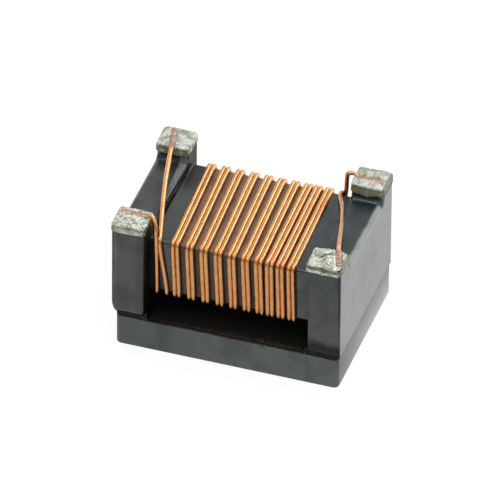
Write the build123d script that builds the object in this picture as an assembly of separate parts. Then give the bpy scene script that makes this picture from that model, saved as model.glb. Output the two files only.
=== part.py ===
from build123d import *
import os
from math import cos, radians, sin

# A surface-mount common mode choke, in millimetres. Two enamelled copper wires are wound side by side round
# the bar of a ferrite drum core that lies on its side. Each flange has two posts, and each post ends in a
# tinned terminal that one wire end is pressed onto. A flat ferrite plate is glued across the feet of the
# flanges. X runs along the bar, Y across it and Z up, with the terminals on top and the plate's underside
# at Z = 0.

# Whole part
LENGTH = 4.5  # over the terminals
WIDTH = 3.2
HEIGHT = 2.8  # to the terminals' tin

# Cover plate
PLATE_LENGTH = 4.37
PLATE_SHIFT = 0.035  # it is glued on a little to the right
PLATE_THICKNESS = 0.69
PLATE_CORNER = 0.11
PLATE_EDGE = 0.045  # bevel round its underside

# Glue
GLUE = 0.03  # the layer between the plate and a flange's foot
GLUE_INSET = 0.012  # how far it stays back from the faces of a flange
GLUE_BEAD = (0.09, 0.07)  # the bead squeezed out on the inner side, in X and Z
GLUE_BULGE = 0.02  # how far the bead stands out from a flat slope
GLUE_REACH = 0.07  # how far the glue fills the bevels of the foot

# Tin on the posts
TIN = 0.015  # on the sides of a post
TIN_TOP = 0.02
TIN_REACH = 0.17  # from the top to the lower edge at a corner
TIN_BOW = 0.04  # how much lower that edge is at its middle
TIN_CORNER = 0.085
TIN_EDGE = 0.045

# Drum core
CORE_LENGTH = LENGTH - 2 * TIN
CORE_WIDTH = WIDTH - 2 * TIN
CORE_FOOT = PLATE_THICKNESS + GLUE
CORE_TOP = HEIGHT - TIN_TOP
FLANGE_THICKNESS = 0.635
FLANGE_EDGE = 0.06
POST_DEPTH = 0.58
VALLEY = 2.47  # height of the flange between its posts
VALLEY_CORNER = 0.09  # inside radius where the valley's floor turns up into a post
VALLEY_RIM = 0.1
RAMP_LENGTH = 0.03  # the floor drops steeply to the bar at its inner edge
RAMP_FOOT = 0.045  # how far below the bar's top the slope ends
NOTCH = 0.03  # from the foot of the slope to the bar's own edge
FOOT_ROUNDING = (0.11, 0.27)  # the left foot is worn round on its outer edge, in X and Z
FOOT_BULGE = 0.014  # how far that rounding stands out from a flat bevel
FOOT_BEVEL = (0.035, 0.1)  # on the front and back edges of both feet, in Y and Z

# Bar
BAR_HEIGHT = 1.16
BAR_DEPTH = 2.46
BAR_EDGE = 0.05
BAR_MIDDLE = (CORE_FOOT + CORE_TOP) / 2

# Wire
WIRE = 0.08
WIRE_SIDES = 12  # flat sides of the modelled wire
BENDS = 2  # mitres in a quarter turn of wire
PAIR_STEP = 0.082  # from one wire of a pair to the other
FLAT_WIDTH = 0.105
FLAT_THICKNESS = 0.034
FLAT_SUNK = 0.014  # how deep a flat end is pressed into the tin
FLARE = 0.09  # length over which the round wire becomes the flat end
STRAIGHT = 0.03  # round wire in line with the flat end, before it turns off

# Winding. At each end the wires leave the pair and take longer steps.
FIRST_PAIR = -1.22  # X of the first pair where it comes over the back edge of the bar
PAIR_GAPS = [0.28] * 4 + [0.265] * 2 + [0.25, 0.195, 0.215, 0.21]  # the turns close up to the right
LEAN = {"front_top": 0.46, "front_foot": 0.64, "back_foot": 0.86}  # share of a gap gained by each corner
# X and Y of the tip of each wire's flat end, and of the root where it starts to be flat
FLAT_ENDS = {
    "front_left": ((-2.19, -1.14), (-1.67, -1.16)),
    "front_right": ((2.13, -1.47), (1.995, -1.03)),
    "back_left": ((-2.09, 1.58), (-1.96, 1.03)),
    "back_right": ((2.18, 1.27), (1.665, 1.32)),
}
# X of each wire where it meets the bar's edges between its terminal and the side-by-side turns
A_FIRST_TURN = {"front_foot": -1.47, "back_foot": -1.36}
B_FIRST_TURN = {"front_top": -1.388, "front_foot": -1.247, "back_foot": -1.21}
A_CROSSING = 1.34  # at the back top edge, where wire A leaves the bar for its terminal
# Wire A drops from its first terminal, and wire B rises to its last one, clear of the bar
A_DROP_X = (-1.497, -1.492)
A_DROP_Y = -1.225
B_RISE_X = (1.43, 1.44, 1.46)
B_RISE_Y = 1.275
BEND_TOP = 0.01  # how far the two points of the bend at a terminal lie below the wire on the tin
BEND_FOOT = 0.09

# Positions that follow
FLANGE_INNER = CORE_LENGTH / 2 - FLANGE_THICKNESS
POST_INNER = CORE_WIDTH / 2 - POST_DEPTH
BAR_TOP = BAR_MIDDLE + BAR_HEIGHT / 2
WIRE_Y = BAR_DEPTH / 2 + WIRE / 2
BEND_RADIUS = BAR_EDGE + WIRE / 2
FLAT_Z = HEIGHT - FLAT_SUNK + FLAT_THICKNESS / 2
ROUND_Z = HEIGHT - FLAT_SUNK + WIRE / 2

SIDES = {"left": -1, "right": 1}
ENDS = {"front": -1, "back": 1}


def block(x, y, z):
    """A box from its lowest and highest X, Y and Z."""
    middle = tuple((low + high) / 2 for low, high in (x, y, z))
    return Pos(*middle) * Box(x[1] - x[0], y[1] - y[0], z[1] - z[0])


def on_side(right_hand, side):
    """A shape drawn for the right-hand side, or its mirror image on the left."""
    return right_hand if side > 0 else mirror(right_hand, Plane.YZ)


def along_y(outline, depth):
    """The solid that this outline in X and Z makes from -depth to depth in Y."""
    return extrude(Plane.XZ * make_face(outline), amount=depth, both=True)


def valley_cut():
    """The space between the two posts of a flange, with rounded inside corners."""
    depth = CORE_TOP - VALLEY + 2 * VALLEY_CORNER
    outline = Pos(0, VALLEY + depth / 2) * RectangleRounded(2 * POST_INNER, depth, VALLEY_CORNER)
    return extrude(Plane.YZ * outline, amount=LENGTH, both=True)


def bulging(start, end, bulge):
    """An arc from start to end whose middle stands this far off the straight line, on its left."""
    start, end = Vector(*start), Vector(*end)
    off = (end - start).normalized().rotate(Axis.Z, 90) * bulge
    return ThreePointArc(start, (start + end) / 2 + off, end)


def foot_bevels():
    """What the bevels take off the front and back edges of a flange's foot."""
    in_y, up_y = FOOT_BEVEL
    front = CORE_WIDTH / 2
    lip = Polyline((front, CORE_FOOT), (front - in_y, CORE_FOOT), (front, CORE_FOOT + up_y), close=True)
    back_lip = extrude(Plane.YZ * make_face(lip), amount=LENGTH, both=True)
    return back_lip + mirror(back_lip, Plane.XZ)


def foot_rounding():
    """What wear has taken off the outer edge of the left foot, drawn for the right-hand side."""
    in_x, up_x = FOOT_ROUNDING
    outer = CORE_LENGTH / 2
    start, end = (outer, CORE_FOOT + up_x), (outer - in_x, CORE_FOOT)
    return along_y(bulging(start, end, FOOT_BULGE) + Polyline(end, (outer, CORE_FOOT), start), WIDTH)


def flange(side):
    """One flange with its two posts."""
    body = block((FLANGE_INNER, CORE_LENGTH / 2), (-CORE_WIDTH / 2, CORE_WIDTH / 2), (CORE_FOOT, CORE_TOP))
    body = body - valley_cut()
    outer_face = body.faces().sort_by(Axis.X)[-1]
    rim = outer_face.edges().filter_by(Axis.Y).sort_by(Axis.Z)[1]
    body = fillet(rim, VALLEY_RIM)
    body = fillet(body.edges().filter_by(Axis.Z), FLANGE_EDGE) - foot_bevels()
    body = body if side > 0 else body - foot_rounding()
    return on_side(body, side)


def ramp_cut():
    """The slope from the right-hand valley floor down to the bar, and the small notch at its foot."""
    slope = [
        (FLANGE_INNER + RAMP_LENGTH, VALLEY),
        (FLANGE_INNER, BAR_TOP - RAMP_FOOT),
        (FLANGE_INNER - NOTCH, BAR_TOP),
        (FLANGE_INNER - NOTCH, HEIGHT),
        (FLANGE_INNER + RAMP_LENGTH, HEIGHT),
    ]
    return along_y(Polyline(slope, close=True), POST_INNER)


def drum_core():
    """The bar and both flanges, pressed and fired as one piece."""
    bar = Pos(0, 0, BAR_MIDDLE) * Box(2 * FLANGE_INNER, BAR_DEPTH, BAR_HEIGHT)
    bar = fillet(bar.edges().filter_by(Axis.X), BAR_EDGE)
    core = bar + [flange(side) for side in SIDES.values()]
    return core - [on_side(ramp_cut(), side) for side in SIDES.values()]


def cover_plate():
    """The flat ferrite plate that closes the magnetic path under the flanges."""
    plate = Pos(PLATE_SHIFT, 0, PLATE_THICKNESS / 2) * Box(PLATE_LENGTH, CORE_WIDTH, PLATE_THICKNESS)
    plate = fillet(plate.edges().filter_by(Axis.Z), PLATE_CORNER)
    return chamfer(plate.faces().sort_by(Axis.Z)[0].edges(), PLATE_EDGE)


def adhesive(side, core):
    """The glue under one flange. It fills the gap and the foot's bevels, and bulges out on the inner side.
    On the right it is flush with the plate's end, and on the left it stays behind the rounded foot."""
    outer = PLATE_LENGTH / 2 + PLATE_SHIFT if side > 0 else CORE_LENGTH / 2 - FOOT_ROUNDING[0] - GLUE_INSET
    bead_x, bead_z = GLUE_BEAD
    toe, top = (FLANGE_INNER - bead_x, PLATE_THICKNESS), (FLANGE_INNER, CORE_FOOT + bead_z)
    rest = Polyline(top, (outer, CORE_FOOT + GLUE_REACH), (outer, PLATE_THICKNESS), toe)
    glue = along_y(bulging(toe, top, GLUE_BULGE) + rest, CORE_WIDTH / 2 - GLUE_INSET)
    return on_side(glue, side) - core


def terminal(side, end, core):
    """The tinned cap on one post. Its lower edge is bowed downwards between the corners."""
    x_in, x_out = FLANGE_INNER - TIN, LENGTH / 2
    y_in, y_out = POST_INNER - TIN, WIDTH / 2
    low = HEIGHT - TIN_REACH
    lower_edge = ThreePointArc((x_in, low), ((x_in + x_out) / 2, low - TIN_BOW), (x_out, low))
    rest = Polyline((x_out, low), (x_out, HEIGHT), (x_in, HEIGHT), (x_in, low))
    cap = extrude(Plane.XZ.offset(-y_out) * make_face(lower_edge + rest), amount=y_out - y_in)
    cap = fillet(cap.edges().filter_by(Axis.Z), TIN_CORNER)
    cap = fillet(cap.faces().sort_by(Axis.Z)[-1].edges(), TIN_EDGE)
    cap = cap if end > 0 else mirror(cap, Plane.XZ)
    return on_side(cap, side) - core


def corner(y_side, z_side, x):
    """The bends of a wire round one edge of the bar, in the order in which the wire meets them. It runs
    forward over the top, down the front, back under the foot and up the back. The mitred runs touch the
    true arc."""
    step = 90 / BENDS
    reach = BEND_RADIUS / cos(radians(step / 2))
    start = {(1, 1): 0, (-1, 1): 90, (-1, -1): 180, (1, -1): 270}[y_side, z_side]
    middle_y = y_side * (WIRE_Y - BEND_RADIUS)
    middle_z = BAR_MIDDLE + z_side * (BAR_HEIGHT / 2 + WIRE / 2 - BEND_RADIUS)
    angles = [radians(start + step * (i + 0.5)) for i in range(BENDS)]
    return [Vector(x, middle_y + reach * cos(a), middle_z + reach * sin(a)) for a in angles]


def turns(shift):
    """The turns that both wires make side by side, for the wire this far along X from their middle."""
    points = []
    x = FIRST_PAIR + shift
    for gap in PAIR_GAPS:
        points += corner(1, 1, x)
        points += corner(-1, 1, x + LEAN["front_top"] * gap)
        points += corner(-1, -1, x + LEAN["front_foot"] * gap)
        points += corner(1, -1, x + LEAN["back_foot"] * gap)
        x += gap
    return points


def section(width, height):
    """The outline of round wire, or of the same wire pressed flat. Flat sides keep the many turns light."""
    angles = [radians(360 * i / WIRE_SIDES) for i in range(WIRE_SIDES)]
    return make_face(Polyline([(width / 2 * cos(a), height / 2 * sin(a)) for a in angles], close=True))


def flat_end(tip, root):
    """The pressed end of a wire, and the flare that takes it to the round wire. Returns the solid, and the
    plane of its round face, which looks along the wire."""
    tip, root = Vector(*tip, FLAT_Z), Vector(*root, FLAT_Z)
    along = (root - tip).normalized()
    across = Vector(0, 0, 1).cross(along)
    flat_face = Plane(root, x_dir=across, z_dir=along) * section(FLAT_WIDTH, FLAT_THICKNESS)
    strip = extrude(flat_face, amount=-(root - tip).length)
    mouth = Plane(root + along * FLARE + Vector(0, 0, ROUND_Z - FLAT_Z), x_dir=across, z_dir=along)
    return strip + loft([flat_face, mouth * section(WIRE, WIRE)], ruled=True), mouth


def round_wire(points, across):
    """Round wire in straight runs that meet in mitres. across is any direction square to the first run."""
    ways = [(after - before).normalized() for before, after in zip(points, points[1:])]
    bisectors = [(before + after).normalized() for before, after in zip(ways, ways[1:])]
    mitres = [ways[0], *bisectors, ways[-1]]
    runs = []
    for start, end, way, first, last in zip(points, points[1:], ways, mitres, mitres[1:]):
        face = Plane(start - way * WIRE, x_dir=across, z_dir=way) * section(WIRE, WIRE)
        run = extrude(face, amount=(end - start).length + 2 * WIRE)
        run = split(run, bisect_by=Plane(start, z_dir=first), keep=Keep.TOP)
        runs.append(split(run, bisect_by=Plane(end, z_dir=last), keep=Keep.BOTTOM))
        across = across - last * (2 * across.dot(last))
    return Part() + runs


def winding(first, points, last):
    """One wire from its first terminal to its last, round between its two flat ends."""
    start, leaving = flat_end(*FLAT_ENDS[first])
    finish, coming = flat_end(*FLAT_ENDS[last])
    takeoff = [leaving.origin, leaving.origin + leaving.z_dir * STRAIGHT]
    landing = [coming.origin + coming.z_dir * STRAIGHT, coming.origin]
    return start + round_wire(takeoff + points + landing, leaving.x_dir) + finish


def winding_a():
    """The wire from the front left terminal, down the front of the bar, to the front right one."""
    drop = [
        Vector(A_DROP_X[0], A_DROP_Y, ROUND_Z - BEND_TOP),
        Vector(A_DROP_X[1], -WIRE_Y, ROUND_Z - BEND_FOOT),
    ]
    first_turn = corner(-1, -1, A_FIRST_TURN["front_foot"]) + corner(1, -1, A_FIRST_TURN["back_foot"])
    crossing = corner(1, 1, A_CROSSING)
    return winding("front_left", drop + first_turn + turns(-PAIR_STEP / 2) + crossing, "front_right")


def winding_b():
    """The wire from the back left terminal, over the top of the bar, to the back right one."""
    first_turn = corner(-1, 1, B_FIRST_TURN["front_top"])
    first_turn += corner(-1, -1, B_FIRST_TURN["front_foot"])
    first_turn += corner(1, -1, B_FIRST_TURN["back_foot"])
    rise = [
        Vector(B_RISE_X[0], WIRE_Y, BAR_TOP),
        Vector(B_RISE_X[1], WIRE_Y, ROUND_Z - BEND_FOOT),
        Vector(B_RISE_X[2], B_RISE_Y, ROUND_Z - BEND_TOP),
    ]
    return winding("back_left", first_turn + turns(PAIR_STEP / 2) + rise, "back_right")


def main():
    os.makedirs("parts", exist_ok=True)
    core = drum_core()
    pieces = {"drum_core": core, "cover_plate": cover_plate()}
    for side_name, side in SIDES.items():
        pieces[f"adhesive_{side_name}"] = adhesive(side, core)
        for end_name, end in ENDS.items():
            seat = flat_end(*FLAT_ENDS[f"{end_name}_{side_name}"])[0]
            pieces[f"terminal_{end_name}_{side_name}"] = terminal(side, end, core) - seat
    pieces["winding_a"] = winding_a()
    pieces["winding_b"] = winding_b()
    for name, piece in pieces.items():
        export_step(piece, f"parts/{name}.step")


main()
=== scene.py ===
# %% [markdown]
# # A surface-mount common mode choke
# The part is a bar of black ferrite with a flange at each end, two enamelled copper wires wound side by
# side round the bar, four tinned terminals and a flat ferrite plate glued under the flanges. The packed
# model already holds every piece at its real size, so this lesson leaves the construction alone and gives
# the surfaces their look: smooth wire in place of the faceted one, lumpy tin, squeezed-out glue, fired
# ferrite.
#
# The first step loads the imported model. Its box is kept, because nothing that is added may reach outside
# it.

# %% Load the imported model
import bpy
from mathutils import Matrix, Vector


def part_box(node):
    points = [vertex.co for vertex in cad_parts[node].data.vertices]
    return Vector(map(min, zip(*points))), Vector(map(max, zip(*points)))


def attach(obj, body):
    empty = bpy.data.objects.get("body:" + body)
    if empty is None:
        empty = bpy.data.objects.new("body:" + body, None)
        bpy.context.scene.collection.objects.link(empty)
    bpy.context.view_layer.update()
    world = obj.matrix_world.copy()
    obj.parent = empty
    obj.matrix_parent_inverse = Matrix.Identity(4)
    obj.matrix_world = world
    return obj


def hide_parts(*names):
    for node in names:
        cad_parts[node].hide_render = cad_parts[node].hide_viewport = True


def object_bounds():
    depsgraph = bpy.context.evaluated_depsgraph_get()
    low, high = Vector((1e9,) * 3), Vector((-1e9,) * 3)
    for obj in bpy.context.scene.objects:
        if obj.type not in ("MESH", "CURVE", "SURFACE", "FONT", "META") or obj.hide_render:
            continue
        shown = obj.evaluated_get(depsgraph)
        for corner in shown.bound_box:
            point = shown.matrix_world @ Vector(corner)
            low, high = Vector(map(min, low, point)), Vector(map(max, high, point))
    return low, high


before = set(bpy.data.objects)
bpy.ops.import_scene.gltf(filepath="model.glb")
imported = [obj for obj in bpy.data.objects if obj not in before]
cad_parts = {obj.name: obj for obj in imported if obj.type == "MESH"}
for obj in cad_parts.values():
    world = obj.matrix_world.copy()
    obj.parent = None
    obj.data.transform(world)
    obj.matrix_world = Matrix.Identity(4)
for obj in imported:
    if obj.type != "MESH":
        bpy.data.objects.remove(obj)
cad_box = [list(corner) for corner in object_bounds()]

import math
from collections import namedtuple

import bmesh
import bpy
from mathutils import Matrix, Vector, noise

MM = 0.001
part_low, part_high = [Vector(corner) / MM for corner in cad_box]
print("nodes:", sorted(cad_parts))
print("size in mm:", [round(length, 3) for length in part_high - part_low])

# %% [markdown]
# ## Places on the part
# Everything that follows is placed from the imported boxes. The core's box doesn't tell how its bar and its
# flanges lie inside it, so those five sizes are named here. X runs along the bar, Y from front to back, and
# the floor is at Z = 0.


# %% Read the places
def box_mm(node):
    """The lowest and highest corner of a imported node, in millimetres."""
    return [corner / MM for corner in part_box(node)]


core_low, core_high = box_mm("drum_core")
plate_low, plate_high = box_mm("cover_plate")
PLATE_TOP = plate_high.z
BAR_TOP = 2.33
BAR_SIDE = 1.23
FLANGE_INNER = 1.60
POST_INNER = 1.005
VALLEY = 2.47
print("core from", [round(value, 3) for value in core_low], "to", [round(value, 3) for value in core_high])
print("plate top at", round(PLATE_TOP, 3), "and bar top at", BAR_TOP)

# %% [markdown]
# ## Camera
# The part is a few millimetres long and the camera stands a quarter of a metre off with a long lens, so the
# view is nearly parallel. The camera's own axes are written as a matrix, from a turn about Z, a tilt above
# the horizon and a slight roll, because that keeps the three angles readable.

# %% Place the camera
CAMERA_DISTANCE = 250 * MM
CAMERA_TARGET = Vector((-0.06, 0.066, 1.504)) * MM
CAMERA_TURN = 0.3145
CAMERA_TILT = 0.660
CAMERA_ROLL = 0.0095
LENS = 965.5
SENSOR = 36.0


def camera_axes():
    """The camera's right, up and back directions."""
    back = Vector((math.sin(CAMERA_TURN), -math.cos(CAMERA_TURN), 0)) * math.cos(CAMERA_TILT)
    back.z = math.sin(CAMERA_TILT)
    level = Vector((math.cos(CAMERA_TURN), math.sin(CAMERA_TURN), 0))
    upright = back.cross(level)
    right = level * math.cos(CAMERA_ROLL) + upright * math.sin(CAMERA_ROLL)
    up = upright * math.cos(CAMERA_ROLL) - level * math.sin(CAMERA_ROLL)
    return right, up, back


bpy.ops.object.camera_add()
camera = bpy.context.object
camera.name = "camera"
right, up, back = camera_axes()
axes = Matrix((right, up, back)).transposed().to_4x4()
camera.matrix_world = Matrix.Translation(CAMERA_TARGET + back * CAMERA_DISTANCE) @ axes
camera.data.lens = LENS
camera.data.sensor_width = SENSOR
camera.data.clip_start = CAMERA_DISTANCE / 10
camera.data.clip_end = CAMERA_DISTANCE * 10
bpy.context.scene.camera = camera
print("camera at", [round(value / MM, 1) for value in camera.location], "mm")

# %% [markdown]
# ## A way to write materials
# A material is a graph of nodes, and its maths is easier to read as sums than as links. `Value` wraps the
# output socket of a node, so that `grain * 0.3 + 0.5` adds the two Math nodes by itself. `above`, `below`
# and `near` turn a place into a share from 0 to 1, and layers are laid over each other by such shares.


# %% Values that a material works out
class Value:
    """The output of a node, which can be added, multiplied and faded like a number."""

    def __init__(self, finish, socket):
        self.finish = finish
        self.socket = socket

    def maths(self, operation, *others):
        return self.finish.node("ShaderNodeMath", {"operation": operation}, dict(enumerate((self, *others))))

    def __add__(self, other):
        return self.maths("ADD", other)

    def __sub__(self, other):
        return self.maths("SUBTRACT", other)

    def __rsub__(self, other):
        return self.finish.node("ShaderNodeMath", {"operation": "SUBTRACT"}, {0: other, 1: self})

    def __mul__(self, other):
        return self.maths("MULTIPLY", other)

    def __truediv__(self, other):
        return self.maths("DIVIDE", other)

    __radd__ = __add__
    __rmul__ = __mul__

    def size(self):
        return self.maths("ABSOLUTE")

    def least(self, other):
        return self.maths("MINIMUM", other)

    def most(self, other):
        return self.maths("MAXIMUM", other)

    def fade(self, low, high, start=0.0, end=1.0):
        """start below low, end above high, and a smooth change between them."""
        ends = {"From Min": low, "From Max": high, "To Min": start, "To Max": end}
        return self.finish.node(
            "ShaderNodeMapRange", {"interpolation_type": "SMOOTHSTEP"}, {"Value": self, **ends}, "Result"
        )

    def above(self, low, high):
        """0 below low and 1 above high."""
        return self.fade(low, high)

    def below(self, low, high):
        """1 below low and 0 above high."""
        return self.fade(low, high, 1.0, 0.0)

    def near(self, middle, reach):
        """1 at this middle value, and 0 from this far on either side of it."""
        return (self - middle).size().below(0.0, reach)


print("ready to do maths with values")


# %% [markdown]
# `Finish` is a material in the making, and its one method `node` makes every node in it. All patterns are
# read from the place on the surface in millimetres, so a scale of 20 means twenty grains to the millimetre,
# whatever the piece.


# %% A finish in the making
class Finish:
    """A node tree in the making, for a material or the world."""

    def __init__(self, owner):
        self.owner = owner
        owner.use_nodes = True
        self.tree = owner.node_tree
        self.tree.nodes.clear()

    def node(self, kind, settings=None, inputs=None, output=0):
        """One node of this kind, with its settings made first and then its sockets. Returns one output."""
        made = self.tree.nodes.new(kind)
        for name, setting in (settings or {}).items():
            setattr(made, name, setting)
        for name, value in (inputs or {}).items():
            if isinstance(value, Value):
                self.tree.links.new(value.socket, made.inputs[name])
            else:
                made.inputs[name].default_value = value
        return Value(self, made.outputs[output]) if len(made.outputs) else None

    def place(self):
        """Where the surface is, in millimetres."""
        point = self.node("ShaderNodeTexCoord", output="Object")
        return self.node("ShaderNodeVectorMath", {"operation": "SCALE"}, {0: point, "Scale": 1 / MM})

    def axes(self, point):
        return [self.node("ShaderNodeSeparateXYZ", inputs={0: point}, output=axis) for axis in "XYZ"]

    def stretched(self, point, amounts):
        """The same place with each axis scaled: a pattern is drawn out where that is least."""
        return self.node("ShaderNodeVectorMath", {"operation": "MULTIPLY"}, {0: point, 1: amounts})

    def cloud(self, point, scale, detail=2.0, roughness=0.5):
        """Cloudy noise, mostly between 0.3 and 0.7."""
        looks = {"Vector": point, "Scale": scale, "Detail": detail, "Roughness": roughness}
        return self.node("ShaderNodeTexNoise", inputs=looks, output="Fac")

    def mix(self, share, first, second):
        """The first colour where share is 0, the second where it is 1."""
        first, second = [tone if isinstance(tone, Value) else (*tone, 1) for tone in (first, second)]
        return self.node("ShaderNodeMix", {"data_type": "RGBA"}, {0: share, 6: first, 7: second}, 2)

    def bump(self, height, depth):
        """A normal for a height from 0 to 1 that stands for this depth in millimetres."""
        return self.node("ShaderNodeBump", inputs={"Height": height, "Distance": depth * MM}, output="Normal")

    def shader(self, **looks):
        """A surface. Each look is named as its socket, with _ for a space."""
        names = {name.replace("_", " "): value for name, value in looks.items()}
        return self.node("ShaderNodeBsdfPrincipled", inputs=names)

    def over(self, share, below, above):
        """The surface above over the one below, with this share of it."""
        return self.node("ShaderNodeMixShader", inputs={0: share, 1: below, 2: above})

    def done(self, shader):
        self.node("ShaderNodeOutputMaterial", inputs={"Surface": shader})
        return self.owner


print("ready to make materials")

# %% [markdown]
# ## Where the wires lie
# The two wires lie side by side in pairs, and each pair moves along the bar to the next in one turn. The
# places of the pairs are set first, because the wires are drawn from them and the ferrite is stained beside
# them. A turn takes its share of the step on each side of the bar, so a wire with further to go leans more.

# %% Places of the pairs
WIRE = 0.087
PAIR_STEP = 0.0885
FIRST_PAIR = -1.196
PAIR_GAPS = [0.28] * 4 + [0.265] * 2 + [0.25, 0.195, 0.215, 0.21]
LEAN = {"front_top": 0.37, "front_foot": 0.53, "back_foot": 0.8}


def pair_places():
    """Where each pair crosses the bar's back top edge, and how far its turn leans."""
    x = FIRST_PAIR
    for gap in PAIR_GAPS:
        yield x, gap * gap / PAIR_GAPS[0]
        x += gap


print("pairs at", [round(x, 3) for x, lean in pair_places()])

# %% [markdown]
# ## Ferrite
# The core and the plate are pressed from black powder, fired and tumbled. The body colour is nearly black:
# the grey that one sees is the surroundings mirrored in a surface with a high index of refraction. So the
# colour is dark, the index is high, and the wear shows in the roughness.
#
# The finish is built up in layers over the next cells. Each layer is a share from 0 to 1, worked out from
# clouds and from how far the place is from the part's own faces. First come those distances and the clouds.

# %% Start the ferrite
ferrite = Finish(bpy.data.materials.new("ferrite"))
place = ferrite.place()
x, y, z = ferrite.axes(place)
from_front = y - core_low.y
from_left_end = x - core_low.x
past_right_end = x - core_high.x
from_left_flange = x + FLANGE_INNER
into_right_flange = x - FLANGE_INNER
over_plate = z - PLATE_TOP
over_bar = z - BAR_TOP
over_valley = z - VALLEY

grain = ferrite.cloud(place, 45, 4, 0.65)
patches = ferrite.cloud(place, 2.2, 4, 0.6)
ragged = grain * 0.5 + patches * 0.5
tint = ferrite.cloud(ferrite.stretched(place, (1.3, 1.3, 1.0)), 3.1, 2, 0.5)
smear = ferrite.cloud(ferrite.stretched(place, (1.0, 0.5, 1.4)), 3.2, 3, 0.6)
spots = ferrite.cloud(ferrite.stretched(place, (1.0, 1.0, 1.3)), 4.3, 2, 0.5).above(0.66, 0.72)
print("ferrite has", len(ferrite.tree.nodes), "nodes so far")

# %% [markdown]
# The body is patched in two greys. The plate is lighter, more so to the right, and the core is browner
# except on its right end face. The tops that face the sky are tinted bluish, a painted reflection of the
# sky. The left edges get a lighter olive band, a painted sheen on their rounded edges, and a few dark spots
# lie over all.

# %% Colour the fired body
all_but_end_face = past_right_end.below(-0.035, -0.025)
# painted sheen: a lighter olive band on the rounded left edges
left_edge_sheen = from_left_end.below(0.045, 0.155) * from_front.below(0.135, 0.185)
on_plate = over_plate.below(-0.03, 0.0) * x.fade(-2.2, 0.6, 0.3, 0.9)
on_core = over_plate.above(-0.03, 0.0) * all_but_end_face * 0.5
# painted reflection: the tops that face the sky are tinted bluish
sky_reflection_tint = x.above(1.1, 1.3).most(x.above(-1.5, -1.4) * y.below(-0.9, -0.1))
sky_reflection_tint = sky_reflection_tint * over_bar.above(-0.13, -0.03) * all_but_end_face * 0.8

tone = ferrite.mix(patches.above(0.35, 0.62), (0.008, 0.013, 0.011), (0.030, 0.035, 0.040))
for share, colour in (
    (tint.above(0.48, 0.62) * 0.8, (0.020, 0.026, 0.020)),
    (left_edge_sheen * ragged.above(0.35, 0.55), (0.15, 0.16, 0.085)),
    (on_plate, (0.058, 0.066, 0.064)),
    (on_core, (0.034, 0.026, 0.028)),
    (sky_reflection_tint, (0.006, 0.018, 0.026)),
    (spots * 0.7, (0.012, 0.008, 0.006)),
):
    tone = ferrite.mix(share, tone, colour)
print("ferrite has", len(ferrite.tree.nodes), "nodes with its body colour")

# %% [markdown]
# The step where the left valley drops to the bar is drawn in three lines. A pale strip on the step face is
# partly its scraped surface and partly painted light. A dark groove under it is a painted shadow, and a
# light line along the ledge under that is a painted highlight. They run at a slant, so each has a height or
# a distance that changes with Y.

# %% Draw the step beside the left valley
over_groove = over_bar + y * 0.045 - 0.088
on_flange = from_left_flange.below(0.01, 0.02)
ramp = (from_left_flange + y * 0.055).above(-0.115, -0.085) * on_flange
# part scraped surface, part painted light on the step face
scraped_and_lit = ramp * over_groove.above(0.01, 0.03) * y.above(-0.6, 0.8) * y.below(1.0, 1.05)
# painted shadow along the foot of the step
groove_shadow = over_groove.near(0.0, 0.032) * from_left_flange.above(-0.04, -0.03) * on_flange * y.above(-0.6, -0.3)
# painted highlight along the ledge
ledge_highlight_on_bar = (from_left_flange - y * 0.072).near(-0.033, 0.018)
ledge_highlight_on_bar = ledge_highlight_on_bar * over_bar.below(0.005, 0.010) * over_bar.above(-0.02, -0.005)
ledge_highlight_on_step = (over_bar + y * 0.14).near(0.064, 0.02) * from_left_flange.near(0.0, 0.02)
ledge_highlight = ledge_highlight_on_bar.most(ledge_highlight_on_step) * y.above(-0.2, 0.3)
tone = ferrite.mix(scraped_and_lit * grain.above(0.35, 0.60), tone, (0.34, 0.34, 0.32))
tone = ferrite.mix(ledge_highlight * 0.8, tone, (0.26, 0.27, 0.25))
print("step drawn between the left valley and the bar")

# %% [markdown]
# Three more places are stained, worn or painted light. Brown flakes lie along the plate's top front edge:
# their brown is partly a stain and partly a painted reflection of the copper above. The rim of the right
# valley is painted pale as painted light, and the inner edge of the right front leg is painted a paler grey
# as painted sheen. The end face is glossier than the rest, and the body is duller under the wires and in the
# valleys.

# %% Stain the edges, paint light on them and set the gloss
near_front = from_front.below(0.085, 0.135)
flakes = ferrite.cloud(place, 19, 3, 0.65).above(0.47, 0.60)
# brown flakes: part stain, part painted reflection of the copper
stain_and_reflection = over_plate.near(0.0, 0.03) * flakes * from_front.below(-0.015, 0.335) * x.fade(-1.4, 0.2, 0.2, 1.0)
# painted light: the rounded rim of the right valley is pale
rim_painted_light = (past_right_end + (ragged - 0.5) * 0.10).above(-0.135, -0.065)
rim_painted_light = rim_painted_light * over_valley.above(-0.12, -0.07) * y.size().below(0.90, 0.97)
# painted sheen: the rounded inner edge of the right front leg is paler; it is also rougher
leg_edge_rough_and_lit = into_right_flange.near(0.005, 0.03) * into_right_flange.above(-0.02, -0.01) * near_front
tone = ferrite.mix(stain_and_reflection, tone, (0.085, 0.055, 0.036))
tone = ferrite.mix(rim_painted_light * 0.9, tone, (0.30, 0.32, 0.30))
tone = ferrite.mix(leg_edge_rough_and_lit * 0.8, tone, (0.05, 0.055, 0.052))

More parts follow.
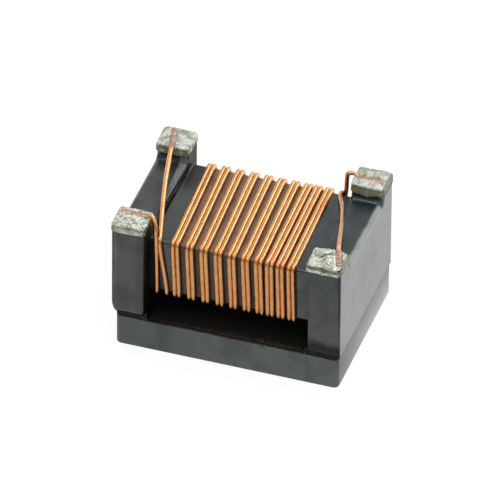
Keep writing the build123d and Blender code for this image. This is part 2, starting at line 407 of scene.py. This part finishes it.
lane = x + y * 0.041
wound = lane.above(-1.27, -1.21) * lane.below(1.19, 1.25) * z.above(1.0, 1.15)
rim = past_right_end.above(-0.135, -0.095) * over_valley.near(0.0, 0.14)
valley = x.size().above(FLANGE_INNER - 0.10, FLANGE_INNER) * over_bar.near(0.02, 0.25)
end_face = past_right_end.above(-0.03, -0.02)
body_rough = 0.15 + grain * 0.08 + smear.above(0.42, 0.7) * 0.10 + wound * 0.15 + valley * 0.15
body_rough = body_rough + scraped_and_lit * 0.2 + rim * 0.3 + leg_edge_rough_and_lit * 0.4
end_rough = 0.06 + smear.above(0.40, 0.7) * 0.10
fired = ferrite.shader(
    Base_Color=tone,
    Roughness=(1 - end_face) * body_rough + end_face * end_rough,
    IOR=1.88,
    Specular_Tint=(0.90, 1.0, 0.95, 1),
    Normal=ferrite.bump(grain * 0.7 + patches.above(0.3, 0.7) * 0.6, 0.0012),
)
print("ferrite has", len(ferrite.tree.nodes), "nodes with its wear")

# %% [markdown]
# Between the wires the bar has a brown glossy coat. Its brown is partly residue and partly a painted
# reflection of the copper. It is painted pale on top and dark on the other sides, as painted light and
# shade, and darker still in a stripe of painted shadow at the right of each pair. The stripes follow the
# pairs round the bar: they drift along X by the pair's own lean, over the wire's run across the top and down
# the front.

# %% Stain and shade the bar between the wires
TOP_RUN = 2.5
FRONT_RUN = 1.13

on_top = over_bar.above(-0.04, -0.005)
drift = y * LEAN["front_top"] / TOP_RUN + over_bar * (LEAN["front_foot"] - LEAN["front_top"]) / FRONT_RUN
beside = 0.0
for start, lean in pair_places():
    edge = start + LEAN["front_top"] * lean / 2 + (PAIR_STEP + WIRE) / 2
    beside = (x + drift * lean).near(edge, 0.075).most(beside)
# painted light and shade: the coat is pale on top and dark on the other sides
coat_lit_on_top = ferrite.mix(on_top, (0.105, 0.042, 0.014), (0.44, 0.215, 0.115))
# painted shadow: a darker stripe at the right of each pair
stripe_shadow_tone = ferrite.mix(on_top, (0.030, 0.008, 0.001), (0.12, 0.045, 0.010))
coat_tone_and_shade = ferrite.mix(beside, coat_lit_on_top, stripe_shadow_tone)
# brown partly residue, partly painted reflection of the copper
brown_coat_and_reflection = ferrite.shader(Base_Color=coat_tone_and_shade, Roughness=0.25, IOR=1.45)
coated_and_shaded = ferrite.over(wound * (0.8 - on_top * (0.3 - beside * 0.4)), fired, brown_coat_and_reflection)
print("stripes beside", len(PAIR_GAPS), "pairs")

# %% [markdown]
# A film of the black glue has crept up the foot of the right front leg and over the plate's top edge, and
# the seam between core and plate is wet with it. Its upper edge is ragged, so clouds are added to the
# height.

# %% Wet the ferrite with glue
GLUE_BLACK = {"Base_Color": (0.003, 0.003, 0.003, 1), "Roughness": 0.12, "IOR": 1.3}

front_face = from_front.below(0.045, 0.065)
film_top = over_plate + (smear - 0.5) * 0.30 + (ragged - 0.5) * 0.15 + (x - 1.9) * 0.08
film = film_top.below(0.25, 0.45) * into_right_flange.above(-0.01, 0.01)
film = film * front_face * over_plate.above(0.01, 0.02)
lip = (over_plate + (ragged - 0.5) * 0.16).above(-0.035, -0.01) * over_plate.below(0.0, 0.01) * front_face
seam = over_plate.near(0.02, 0.05) * x.size().above(FLANGE_INNER - 0.10, FLANGE_INNER - 0.04) * near_front
wet = (film * 0.9).most((seam * 1.5).least(0.95)).most(lip * 0.85)
wetted = ferrite.over(wet, coated_and_shaded, ferrite.shader(**GLUE_BLACK))
print("glue on the leg, the lip and the seam")

# %% [markdown]
# Dull black is painted into the corners as painted shade: beside the left flange and along the groove,
# under the back left tin, on the bar at its left end and on the plate inside the opening. The front of the
# right front leg darkens towards its top. A thin haze of soot lies in patches over the rest.

# %% Paint shade into the corners and lay the soot haze
# painted shade in the corners: by the left flange, under the back left tin, the bar's left end and inside the
# opening
beside_bar = over_bar.above(-0.02, 0.0) * y.above(-1.2, -1.1) * y.below(0.9, 1.0)
inner_face_shade = from_left_flange.near(0.003, 0.012) * y.fade(0.9, 1.0, 1.0, 0.75) * (1 - beside_bar)
flange_top = from_left_flange.fade(-0.30, 0.0, 0.0, 0.2) * from_left_flange.below(0.0, 0.01)
under_tin_shade = y.near(POST_INNER - 0.035, 0.07) * from_left_flange.below(0.0, 0.1) * over_valley.above(0.0, 0.01)
bar_front = (x + z * 0.25).below(-1.12, -0.87).most(from_left_flange.below(0.12, 0.19))
bar_front = bar_front * from_left_flange.above(-0.01, 0.0) * y.below(0.01 - BAR_SIDE, 0.05 - BAR_SIDE)
bar_back = from_left_flange.above(0.06, 0.14) * lane.below(-1.30, -1.24)
bar_back = bar_back * y.fade(0.0, 0.9, 0.0, 0.5) * over_bar.above(-0.03, -0.01)
right_leg = near_front * into_right_flange.above(0.0, 0.03) * z.fade(1.1, 2.2, 0.0, 0.22)
haze = ferrite.cloud(ferrite.stretched(place, (1.0, 1.0, 0.7)), 1.9, 3, 0.55).fade(0.45, 0.68, 0.0, 0.28)
haze = haze * past_right_end.fade(-0.035, -0.025, 1.0, 0.35)
plate_inside_shade = over_plate.near(0.0, 0.008) * from_front.fade(0.005, 0.285, 0.35, 0.85) * (1 - stain_and_reflection) * 1.5

shade_and_soot = (inner_face_shade.most(flange_top).most(groove_shadow) * 1.5).least(1.0)
for more in (under_tin_shade * 0.6, bar_front, bar_back, right_leg):
    shade_and_soot = shade_and_soot.most(more)
shade_and_soot = (shade_and_soot * over_plate.above(0.01, 0.03)).most(plate_inside_shade).most(haze).least(0.92)
dull_black_shade_and_soot = ferrite.shader(Base_Color=(0.004, 0.004, 0.003, 1), Roughness=0.55, IOR=1.3)
ferrite_material = ferrite.done(ferrite.over(shade_and_soot, wetted, dull_black_shade_and_soot))
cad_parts["drum_core"].material_slots[0].material = ferrite_material
print("ferrite on the core, with", len(ferrite.tree.nodes), "nodes")

# %% [markdown]
# ## A bench in millimetres
# The finest voxel is a tenth of a millimetre, which is a wire's width here. So new pieces are modelled on a
# bench where one unit is a millimetre, and shrunk to their real size at the end.


# %% Helpers for the bench
def choose(thing):
    """Selects this object alone and makes it the active one."""
    bpy.ops.object.select_all(action="DESELECT")
    bpy.context.view_layer.objects.active = thing
    thing.select_set(True)


def block_mm(name, low, high):
    """A plain block between two corners."""
    bpy.ops.object.select_all(action="DESELECT")
    bpy.ops.mesh.primitive_cube_add(size=1, location=(low + high) / 2)
    block = bpy.context.object
    block.name = name
    block.scale = high - low
    bpy.ops.object.transform_apply(location=True, rotation=True, scale=True)
    return block


def round_edges(thing, test, radius, segments):
    """Rounds the edges whose two ends pass the test."""
    bpy.ops.object.mode_set(mode="EDIT")
    bpy.ops.mesh.select_mode(type="EDGE")
    bpy.ops.mesh.select_all(action="DESELECT")
    shape = bmesh.from_edit_mesh(thing.data)
    for edge in shape.edges:
        edge.select_set(test(*[end.co for end in edge.verts]))
    bmesh.update_edit_mesh(thing.data)
    bpy.ops.mesh.bevel(offset=radius, segments=segments, affect="EDGES")
    bpy.ops.object.mode_set(mode="OBJECT")


def fine_grid(thing, step):
    """Rebuilds the surface as an even grid of small faces."""
    choose(thing)
    grid = thing.modifiers.new("grid", "REMESH")
    grid.mode = "VOXEL"
    grid.voxel_size = step
    bpy.ops.object.modifier_apply(modifier="grid")


def smooth_step(value, low, high):
    """0 at low, 1 at high, and a smooth change between them."""
    share = min(max((value - low) / (high - low), 0.0), 1.0)
    return share * share * (3 - 2 * share)


def inside_part(point):
    """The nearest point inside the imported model's box."""
    return Vector([min(max(value, low), high) for value, low, high in zip(point, part_low, part_high)])


def off_the_bench(piece, material, node):
    """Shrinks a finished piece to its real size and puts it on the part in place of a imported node."""
    choose(piece)
    piece.scale = (MM, MM, MM)
    bpy.ops.object.transform_apply(location=True, rotation=True, scale=True)
    piece.data.materials.append(material)
    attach(piece, "root")
    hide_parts(node)
    print(piece.name, "has", len(piece.data.polygons), "faces")


print("the bench is ready")

# %% [markdown]
# ## Cover plate
# The plate is a pressed tile whose edges the tumbler has rounded. It is a block with generous corners, a
# rounder edge underneath and a slight one on top.

# %% Model the cover plate
CORNER_ROUNDING = 0.11
UNDERSIDE_ROUNDING = 0.055
TOP_ROUNDING = 0.012

plate = block_mm("plate", plate_low, plate_high)
round_edges(plate, lambda start, end: abs(start.z - end.z) > UNDERSIDE_ROUNDING, CORNER_ROUNDING, 8)
round_edges(plate, lambda start, end: max(start.z, end.z) < plate_low.z + TOP_ROUNDING, UNDERSIDE_ROUNDING, 6)
round_edges(plate, lambda start, end: min(start.z, end.z) > plate_high.z - TOP_ROUNDING / 2, TOP_ROUNDING, 2)
choose(plate)
bpy.ops.object.shade_smooth_by_angle(angle=math.radians(25))
off_the_bench(plate, ferrite_material, "cover_plate")

# %% [markdown]
# ## Wire
# Each wire starts flat on a terminal, turns off to the bar, makes its turns side by side with the other
# wire and ends flat on the opposite terminal. Its route is a smooth curve whose points come from a loop
# over the bar's four edges, because every turn is the same but for its place along the bar.
#
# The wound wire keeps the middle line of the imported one, whose coat is a little thinner.

# %% Sizes of the wire
PACKED_WIRE = 0.08
FLAT_WIDTH = 0.105
FLAT_THICKNESS = 0.034
FLAT_SUNK = 0.022
FLAT_RAGGED = 0.012
FLARE = 0.09
BARE_LENGTH = 1.6 * FLARE
BEND = 0.09

tin_top = box_mm("terminal_front_left")[1].z
wound_low = box_mm("winding_b")[0]
wire_y = -wound_low.y - PACKED_WIRE + WIRE / 2
foot_z = wound_low.z + PACKED_WIRE - WIRE / 2
top_z = core_low.z + core_high.z - foot_z
round_z = tin_top - FLAT_SUNK + WIRE / 2
flat_z = tin_top - FLAT_SUNK + FLAT_THICKNESS / 2
print("wire runs", round(2 * wire_y, 3), "by", round(top_z - foot_z, 3), "mm round the bar")

# %% [markdown]
# The curve touches the middle of each straight step between its points. A point at an edge of the bar, with
# one two bend lengths before it and one after it, gives a short bend with straight runs between.


# %% Go round the bar
CORNERS = {
    "back_top": (wire_y, top_z, (0, 0, 1), (0, -1, 0)),
    "front_top": (-wire_y, top_z, (0, -1, 0), (0, 0, -1)),
    "front_foot": (-wire_y, foot_z, (0, 0, -1), (0, 1, 0)),
    "back_foot": (wire_y, foot_z, (0, 1, 0), (0, 0, 1)),
}
FLAT_ENDS = {
    "front_left": ((-2.19, -1.14), (-1.67, -1.16)),
    "front_right": ((2.165, -1.45), (2.015, -1.02)),
    "back_left": ((-2.055, 1.56), (-1.925, 1.01)),
    "back_right": ((2.165, 1.225), (1.645, 1.29)),
}


def corner_points(corner, x):
    """Three points that lead the wire round one edge of the bar."""
    y, z, coming, going = CORNERS[corner]
    point = Vector((x, y, z))
    return [point - Vector(coming) * 2 * BEND, point, point + Vector(going) * 2 * BEND]


def turn_points(shift):
    """All the turns of the wire that lies this far along X from the middle of its pair."""
    points = []
    for place, lean in pair_places():
        x = place + shift
        points += corner_points("back_top", x)
        for corner, share in LEAN.items():
            points += corner_points(corner, x + share * lean)
    return points


def end_points(name):
    """The tip and the root of a pressed end, and the first point of the round wire."""
    tip, root = [Vector((x, y, round_z)) for x, y in FLAT_ENDS[name]]
    along = (root - tip).normalized()
    return [tip, tip.lerp(root, 0.5), root, root + along * FLARE]


print("one turn has", sum(len(corner_points(corner, 0.0)) for corner in CORNERS), "points")

# %% [markdown]
# Between the winding and its terminals the wires hang free for a short way. Wire A drops from the front left
# terminal and reaches the front right one with a kink. Wire B sags from the back left terminal and rises
# steeply to the back right one. These stretches follow no rule, so they are drawn point by point.

# %% Lay the routes
drop = [Vector((-1.505, -1.21, round_z - 0.075)), Vector((-1.460, -wire_y - 0.02, round_z - 0.24))]
rise = [
    Vector((1.425, wire_y, top_z - WIRE / 2)),
    Vector((1.435, wire_y, round_z - 0.09)),
    Vector((1.455, 1.275, round_z - 0.01)),
]
sag = [Vector((-1.73, 0.0, 2.635)), Vector((-1.434, -wire_y + 2 * BEND, top_z + 0.035))]
kink = [
    Vector((1.525, 0.72, 2.44)),
    Vector((1.66, 0.31, 2.56)),
    Vector((1.71, 0.13, 2.60)),
    Vector((1.765, -0.05, 2.635)),
]
routes = {
    "winding_a": end_points("front_left")
    + drop
    + corner_points("front_foot", -1.438)
    + corner_points("back_foot", -1.36)
    + turn_points(-PAIR_STEP / 2)
    + corner_points("back_top", 1.35)
    + kink
    + end_points("front_right")[::-1],
    "winding_b": end_points("back_left")
    + sag
    + corner_points("front_top", -1.388)[1:]
    + corner_points("front_foot", -1.247)
    + corner_points("back_foot", -1.21)
    + turn_points(PAIR_STEP / 2)
    + rise
    + end_points("back_right")[::-1],
}
for name, route in routes.items():
    print(name, "has", len(route), "points")

# %% [markdown]
# The ends are pressed flat by the tool that welds them. Each point of the wire near an end is moved by a
# formula: squeezed in height, spread in width with a slightly ragged edge, and faded to the round wire over
# the flare. How far it was pressed is kept in an attribute, because the enamel burns off where it is
# pressed.


# %% Draw the wire and press its ends
def draw_wire(name, points):
    """A round wire along these points, as a mesh."""
    curve = bpy.data.curves.new(name, "CURVE")
    curve.dimensions = "3D"
    spline = curve.splines.new("NURBS")
    spline.points.add(len(points) - 1)
    for made, point in zip(spline.points, points):
        made.co = (*point, 1)
    spline.order_u = 3
    spline.use_endpoint_u = True
    spline.resolution_u = 5
    curve.bevel_depth = WIRE / 2
    curve.bevel_resolution = 6
    curve.use_fill_caps = True
    piece = bpy.data.objects.new(name, curve)
    bpy.context.scene.collection.objects.link(piece)
    choose(piece)
    bpy.ops.object.convert(target="MESH")
    bpy.ops.object.shade_smooth()
    piece = bpy.context.object
    piece.data.attributes.new("bare", "FLOAT", "POINT")
    return piece


def press_end(piece, name):
    """Presses one end of the wire flat, from its tip to its root."""
    tip, root = [Vector((x, y, round_z)) for x, y in FLAT_ENDS[name]]
    along = (root - tip).normalized()
    across = Vector((0, 0, 1)).cross(along)
    bare = piece.data.attributes["bare"].data
    for vertex in piece.data.vertices:
        way = vertex.co - root
        forward, side = way.dot(along), way.dot(across)
        if forward > BARE_LENGTH or max(abs(side), abs(way.z)) > WIRE:
            continue
        pressed = 1 - smooth_step(forward, 0, FLARE)
        raggedness = FLAT_RAGGED * noise.noise(Vector((forward * 14, side * 6, tip.x)))
        width = side * (FLAT_WIDTH / WIRE) + math.copysign(raggedness, side)
        height = flat_z - round_z + way.z * FLAT_THICKNESS / WIRE
        vertex.co += across * (width - side) * pressed
        vertex.co.z += (height - way.z) * pressed
        vertex.co = inside_part(vertex.co)
        bare[vertex.index].value = 1 - smooth_step(forward, 0, BARE_LENGTH)


print("ready to draw and press")

# %% [markdown]
# Enamelled copper is a metal under a clear amber coat. The coat deepens the orange where the wire sees
# itself, so the gaps in a pair glow. On the pressed ends the coat is gone, and the copper is dull and
# pinkish with pale flecks. The free lead at the right is painted browner and duller, with less coat, too.


# %% Finish the wires
def copper_finish():
    finish = Finish(bpy.data.materials.new("enamelled_copper"))
    place = finish.place()
    bare = finish.node("ShaderNodeAttribute", {"attribute_name": "bare"}, output="Fac")
    streak = finish.cloud(place, 9, 3, 0.6)
    enamel = finish.mix(streak.above(0.35, 0.65), (0.75, 0.345, 0.110), (0.88, 0.435, 0.155))
    pressed = finish.cloud(place, 22, 3, 0.6).above(0.4, 0.6)
    pressed = finish.mix(pressed, (0.42, 0.24, 0.17), (0.68, 0.45, 0.35))
    flecks = finish.cloud(place, 15, 3, 0.6).above(0.54, 0.62)
    pressed = finish.mix(flecks * 0.8, pressed, (0.66, 0.63, 0.54))
    x, _, z = finish.axes(place)
    # the free lead at the right is painted browner and duller
    browner_lead = x.above(1.36, 1.42) * z.above(2.30, 2.45) * 0.35
    bare_and_browned = (bare * 1.4 - 0.2).least(1.0).most(browner_lead)
    return finish.done(
        finish.shader(
            Base_Color=finish.mix(bare_and_browned, enamel, pressed),
            Metallic=1.0,
            Roughness=0.24 + streak * 0.08 + bare_and_browned * 0.15,
            Coat_Weight=0.9 - bare_and_browned * 0.9,
            Coat_Roughness=0.16,
        )
    )


copper = copper_finish()
wire_ends = {"winding_a": ("front_left", "front_right"), "winding_b": ("back_left", "back_right")}
for node, ends in wire_ends.items():
    piece = draw_wire(node.replace("winding", "wire"), routes[node])
    for end in ends:
        press_end(piece, end)
    off_the_bench(piece, copper, node)

# %% [markdown]
# ## Tin
# A terminal is a post dipped in molten tin. The tin is thick and lumpy on top, thin where it ran down the
# sides, and gathers in a rim at its lower edge. Each terminal has its own measures, in millimetres: how
# lumpy and domed the top is, how far the lower edge bows down and the inner side hangs over, and how deep
# the hollow band round the sides is. Three shares tell how dark that band is painted, as soil and painted
# shade; how much crust and painted shadow lie on the skirt below it; and how much of the inner side is
# painted as brown flux with painted shade.

# %% Sizes of the tin
TIN_CORNER = 0.07
TIN_EDGE = 0.05
TIN_BOW = 0.04
TIN_GRID = 0.011
TIN_SIDE = 0.013
TIN_THINNED = 0.002
PIT_DEPTH = 0.016
CRACK_DEPTH = 0.02
SEAT_DEPTH = 0.012
WICK_HEIGHT = 0.010
CRACK = (Vector((1.78, -1.33)), Vector((1.90, -1.17)))

Coat = namedtuple("Coat", "lumps dome bow overhang hollow soil skirt burn")
COATS = {
    "front_left": Coat(0.020, 0.0, 0.04, 0.0, 0.012, soil=0.8, skirt=0.0, burn=1.0),
    "front_right": Coat(0.028, 0.04, 0.04, 0.035, 0.013, soil=1.7, skirt=0.0, burn=0.0),
    "back_left": Coat(0.016, 0.01, 0.04, 0.0, 0.008, soil=1.0, skirt=0.7, burn=0.0),
    "back_right": Coat(0.016, 0.01, 0.09, 0.01, 0.011, soil=1.2, skirt=1.1, burn=0.0),
}
print("coats of tin:", ", ".join(COATS))

# %% [markdown]
# Each coat begins as a block in the place of its terminal. It starts a little above the terminal's lower
# edge, because the bow brings it down again, and it is wider to the left by its overhang. Its corners and
# top edges are rounded, and the block is rebuilt as a fine even grid.


# %% Cut a block of tin
def tin_block(name, end):
    """A block with rounded corners in the place of a terminal, in a fine even grid."""
    low, high = box_mm("terminal_" + end)
    low.z += TIN_BOW
    low.x -= COATS[end].overhang
    block = block_mm(name, low, high)
    round_edges(block, lambda start, end: abs(start.z - end.z) > TIN_EDGE, TIN_CORNER, 6)
    round_edges(block, lambda start, end: min(start.z, end.z) > high.z - TIN_EDGE / 2, TIN_EDGE, 5)
    fine_grid(block, TIN_GRID)
    return block


print("ready to cut blocks")

# %% [markdown]
# Every point of the block is then moved along its normal. On top it rises with the lumps and the dome, dips
# in pits and in a crack, wicks up beside the pressed wire and makes a flat seat under it. On the sides it
# goes in with the hollow, but never further than the coat is thick, or the ferrite would show through. The
# lower edge bows down. What sticks to the tin, and where shade is painted on it, is kept in an attribute for
# its finish.


# %% Shape the tin
def line_distance(point, start, end):
    """How far a point is from a line between two places, seen from above."""
    along = end - start
    share = min(max((point.xy - start).dot(along) / along.length_squared, 0.0), 1.0)
    return (point.xy - start.lerp(end, share)).length


def waves(point, scale):
    """Smooth noise between -1 and 1, finer for a larger scale."""
    return noise.noise(point * scale)


def lump(block, end):
    """Moves every point of the block to where dipped tin would be."""
    coat = COATS[end]
    low, high = [Vector(corner) for corner in (block.bound_box[0], block.bound_box[6])]
    middle = (low + high) / 2
    half = (high - low) / 2
    dirt_and_shade = block.data.attributes.new("dirt_and_shade", "FLOAT", "POINT").data
    tip, root = [Vector(wire_end) for wire_end in FLAT_ENDS[end]]
    normals = [vertex.normal.copy() for vertex in block.data.vertices]
    for vertex, normal in zip(block.data.vertices, normals):
        point = vertex.co.copy()
        up_share = max(normal.z, 0.0)
        side_share = 1 - abs(normal.z)
        height = (point.z - low.z) / (high.z - low.z) + 0.12 * waves(point, 11)
        away = Vector(((point.x - middle.x) / half.x, (point.y - middle.y) / half.y))
        lumps = coat.lumps * (waves(point, 5) + 0.3 * waves(point, 14))
        pits = -PIT_DEPTH * smooth_step(noise.noise(point * 16 + middle), 0.4, 0.65)

        from_wire = line_distance(point, tip, root)
        cracked = up_share * smooth_step(line_distance(point, *CRACK) + 0.05 * waves(point, 20), 0.05, 0.01)
        rise = lumps + pits + coat.dome * (1 - 0.9 * away.length_squared)
        rise += WICK_HEIGHT * smooth_step(from_wire, 0.16, 0.07) - CRACK_DEPTH * cracked
        seat = smooth_step(from_wire, 0.08, 0.045) * smooth_step(point.z, high.z - 0.04, high.z - 0.01)
        rise += (min(rise, -SEAT_DEPTH) - rise) * seat

        ragged_height = 1 + 0.9 * noise.noise(Vector((point.x * 7, point.y * 7, point.z * 16)))
        hollow = math.sin(math.pi * min(max(height * 1.3 - 0.3, 0), 1)) ** 2 * side_share
        hollow = min(hollow * ragged_height, 1) * smooth_step(normal.x, 0.8, 0.3)
        bulge = max(lumps * 0.5 + pits * 0.7 - coat.hollow * hollow - TIN_THINNED, -TIN_SIDE)

        bow = coat.bow * (1 - min(away.x * away.x, away.y * away.y)) * smooth_step(height, 0.6, 0.0)
        vertex.co += normal * (up_share * rise + side_share * bulge)
        vertex.co.z -= bow * (0.7 + 0.6 * waves(point, 5)) * side_share
        vertex.co = inside_part(vertex.co)

        # painted shade: the crack, the deepest hollow, the skirt and the front left inner side are stored
        # dark, partly as flux and crust
        past_dark_edge = point.x - high.x + (high.z - point.z) * 0.35 + 0.06 * waves(point, 12)
        flux_and_shade_side = 3 * coat.burn * smooth_step(past_dark_edge, 0.0, 0.05) * side_share
        crust_and_shade = coat.skirt * side_share * smooth_step(height + 0.45 * waves(point, 13), 0.6, 0.2)
        dirt_and_shade[vertex.index].value = max(hollow * coat.soil, cracked * 2, crust_and_shade, flux_and_shade_side)


print("ready to shape blocks")

# %% [markdown]
# Tin is a soft white metal. Here it has dull grey-green patches, and it is more speckled at the front. Its
# right side is darker, as painted shade. There is an olive crust in the hollow band round its sides, partly
# flux and partly painted shade, and it is painted black as shade in the deepest places and in the crack.
# The inner side of the front left coat is brownish black: brown flux with painted shade.


# %% Finish the tin
def tin_finish():
    finish = Finish(bpy.data.materials.new("tin"))
    place = finish.place()
    x, y, _ = finish.axes(place)
    dirt_and_shade = finish.node("ShaderNodeAttribute", {"attribute_name": "dirt_and_shade"}, output="Fac")
    patches = finish.cloud(place, 5, 3, 0.55)
    specks = finish.cloud(place, 23, 3, 0.6)
    coarse = y.fade(-1.0, 1.0, 0.95, 0.5)
    # painted shade: the right side of each coat is darker
    right_side_shade = (x - core_high.x).above(-0.045, -0.015)
    metal = finish.mix(patches.above(0.40, 0.60), (0.34, 0.36, 0.27), (0.66, 0.68, 0.61))
    metal = finish.mix(specks.above(0.50, 0.64) * coarse, metal, (0.92, 0.96, 0.91))
    metal = finish.mix(specks.below(0.34, 0.45) * coarse * 0.7, metal, (0.19, 0.20, 0.13))
    metal = finish.mix(right_side_shade * 0.9, metal, (0.25, 0.26, 0.175))
    # olive crust, painted black as shade where the hollow band is deepest and in the crack
    olive_to_black = finish.mix(dirt_and_shade.above(1.1, 1.6), (0.14, 0.14, 0.05), (0.03, 0.03, 0.012))
    crust_and_shade = (dirt_and_shade + (specks - 0.5) * 0.8).above(0.20, 0.80)
    tone = finish.mix(crust_and_shade * 0.85, metal, olive_to_black)
    dipped = finish.shader(
        Base_Color=tone,
        Metallic=0.65 - crust_and_shade * 0.55,
        Roughness=0.42 + patches * 0.2 + crust_and_shade * 0.2,
        Normal=finish.bump(specks, 0.007),
    )
    # brown flux with painted shade on the inner side of the front left coat
    flux_and_shade_black = finish.shader(Base_Color=(0.020, 0.009, 0.003, 1), Roughness=0.6, IOR=1.2)
    return finish.done(finish.over(dirt_and_shade.above(2.1, 2.8) * 0.9, dipped, flux_and_shade_black))


tin = tin_finish()
for end in COATS:
    block = tin_block("tin_" + end, end)
    lump(block, end)
    bpy.ops.object.shade_smooth()
    off_the_bench(block, tin, "terminal_" + end)

# %% [markdown]
# ## Glue
# A film of black epoxy holds the plate, and some of it is squeezed out round the foot of each flange. The
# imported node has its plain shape, so a copy of its mesh is rebuilt as a fine grid and pushed out into
# beads, with three larger drops at the inner corners of the front legs.


# %% Model the glue
GLUE_GRID = 0.012
GLUE_SWELL = 0.008
DROP_SWELL = 0.03
DROP_RADIUS = 0.08
DROPS = [Vector(middle) for middle in ((-1.585, -1.555, 0.75), (1.565, -1.555, 0.75), (1.60, -1.57, 0.71))]


def glue_bead(name, node):
    """The squeezed-out glue under one flange."""
    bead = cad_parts[node].copy()
    bead.data = bead.data.copy()
    bead.name = name
    bpy.context.scene.collection.objects.link(bead)
    bead.parent = None
    bead.matrix_world = Matrix.Diagonal((1 / MM, 1 / MM, 1 / MM, 1))
    bead.data.materials.clear()
    choose(bead)
    bpy.ops.object.transform_apply(location=True, rotation=True, scale=True)
    bpy.ops.object.mode_set(mode="EDIT")
    bpy.ops.mesh.select_all(action="SELECT")
    bpy.ops.mesh.remove_doubles(threshold=0.0005)
    bpy.ops.object.mode_set(mode="OBJECT")
    fine_grid(bead, GLUE_GRID)
    normals = [vertex.normal.copy() for vertex in bead.data.vertices]
    for vertex, normal in zip(bead.data.vertices, normals):
        lumps = noise.noise(vertex.co * 5) + 0.6 * noise.noise(vertex.co * 12)
        drop = max(smooth_step((vertex.co - middle).length, DROP_RADIUS, 0.0) for middle in DROPS)
        vertex.co = inside_part(vertex.co + normal * (GLUE_SWELL * (0.5 + lumps) + DROP_SWELL * drop))
    bpy.ops.object.shade_smooth()
    return bead


print("ready to squeeze out glue")

# %% [markdown]
# The glue is glossy black on the front face and dull black behind it.


# %% Finish the glue
def glue_finish():
    finish = Finish(bpy.data.materials.new("glue"))
    _, y, _ = finish.axes(finish.place())
    behind_front = (y - core_low.y).above(0.035, 0.085)
    dull = finish.shader(Base_Color=(0.002, 0.002, 0.002, 1), Roughness=0.6, IOR=1.1)
    return finish.done(finish.over(behind_front, finish.shader(**GLUE_BLACK), dull))


glue = glue_finish()
for side in ("left", "right"):
    off_the_bench(glue_bead("glue_" + side, "adhesive_" + side), glue, "adhesive_" + side)

# %% [markdown]
# ## Stage
# The floor is white paper. The camera sees it as white with a share of its own shading, so that the part
# still throws a faint shadow. What the glossy pieces mirror is a grey card in its place: lighter behind the
# part, darker in front of it, and darkest in front at the sides.

# %% Lay the floor
FLOOR_SIZE = 400 * MM
SHADOW_SHARE = 0.12
bpy.ops.object.select_all(action="DESELECT")
bpy.ops.mesh.primitive_plane_add(size=FLOOR_SIZE)
floor = bpy.context.object
floor.name = "floor"


def paper_finish():
    finish = Finish(bpy.data.materials.new("paper"))
    x, y, _ = finish.axes(finish.place())
    rays = ("Is Camera Ray", "Is Glossy Ray", "Is Transmission Ray")
    camera_ray, glossy_ray, clear_ray = [finish.node("ShaderNodeLightPath", output=ray) for ray in rays]
    front = y.fade(-5.5, -3.0, 0.66, 0.57) * x.size().fade(2.8, 4.5, 1.0, 0.3)
    mirrored = y.fade(-1.5, 0.3, 0.0, 0.89) + y.below(-1.5, 0.3) * front
    grey = finish.mix(mirrored, (0, 0, 0), (1, 1, 1))
    paper = finish.node("ShaderNodeBsdfDiffuse", inputs={"Color": (0.9, 0.9, 0.9, 1)})
    white = finish.node("ShaderNodeEmission", inputs={"Color": (1, 1, 1, 1), "Strength": 1.05})
    card = finish.node("ShaderNodeEmission", inputs={"Color": grey, "Strength": 1.25})
    seen = camera_ray.most(clear_ray) * (1 - SHADOW_SHARE)
    return finish.done(finish.over(glossy_ray, finish.over(seen, paper, white), card))


floor.data.materials.append(paper_finish())
print("paper of", round(FLOOR_SIZE / MM), "mm on the floor")

# %% [markdown]
# The sky is white at the horizon behind the part, darker in front of it and half way up, and a little
# brighter again overhead. The camera sees it as white.


# %% Hang the sky
def studio_sky():
    finish = Finish(bpy.data.worlds.new("studio"))
    direction = finish.node("ShaderNodeTexCoord", output="Generated")
    _, y, z = finish.axes(direction)
    level = z.fade(0.0, 0.5, 1.0, 0.62) * y.fade(-0.6, 0.1, 0.45, 1.0)
    level = level.most(z.fade(0.45, 0.9, 0.0, 1.1)).most(z.below(-0.02, 0.0))
    camera_ray = finish.node("ShaderNodeLightPath", output="Is Camera Ray")
    strength = level.most(camera_ray)
    sky = finish.node("ShaderNodeBackground", inputs={"Color": (1, 1, 1, 1), "Strength": strength})
    finish.node("ShaderNodeOutputWorld", inputs={"Surface": sky})
    return finish.owner


bpy.context.scene.world = studio_sky()
print("sky is", bpy.context.scene.world.name)

# %% [markdown]
# Four rectangular lamps stand 30 to 40 mm from the part: three wide ones behind and above it, and a small
# bright one above its front. They are set by how bright their face is, so a wider lamp gives more light at
# the same level. The camera doesn't see them.


# %% Set the lamps
def soft_lamp(name, direction, distance, size, level):
    """A rectangular lamp that far from the part in millimetres, whose face shines at this level."""
    towards = Vector(direction).normalized()
    bpy.ops.object.light_add(type="AREA", location=CAMERA_TARGET + towards * distance * MM)
    lamp = bpy.context.object
    lamp.name = name
    lamp.data.shape = "RECTANGLE"
    lamp.data.size, lamp.data.size_y = size[0] * MM, size[1] * MM
    lamp.data.energy = level * math.pi * lamp.data.size * lamp.data.size_y
    lamp.rotation_euler = (-towards).to_track_quat("-Z", "Y").to_euler()
    lamp.visible_camera = False


soft_lamp("back_light", (0.42, 0.75, 0.50), 30, (12, 8), 3.6)
soft_lamp("key_light", (0.3, 0.35, 1.0), 40, (20, 16), 2.5)
soft_lamp("top_light", (-0.2, -0.40, 0.9), 30, (8, 5), 3.0)
soft_lamp("front_light", (0.6, -0.9, 0.9), 30, (2.5, 2.5), 30.0)
bpy.context.scene.view_settings.view_transform = "Standard"
print("lamps:", [thing.name for thing in bpy.context.scene.objects if thing.type == "LIGHT"])
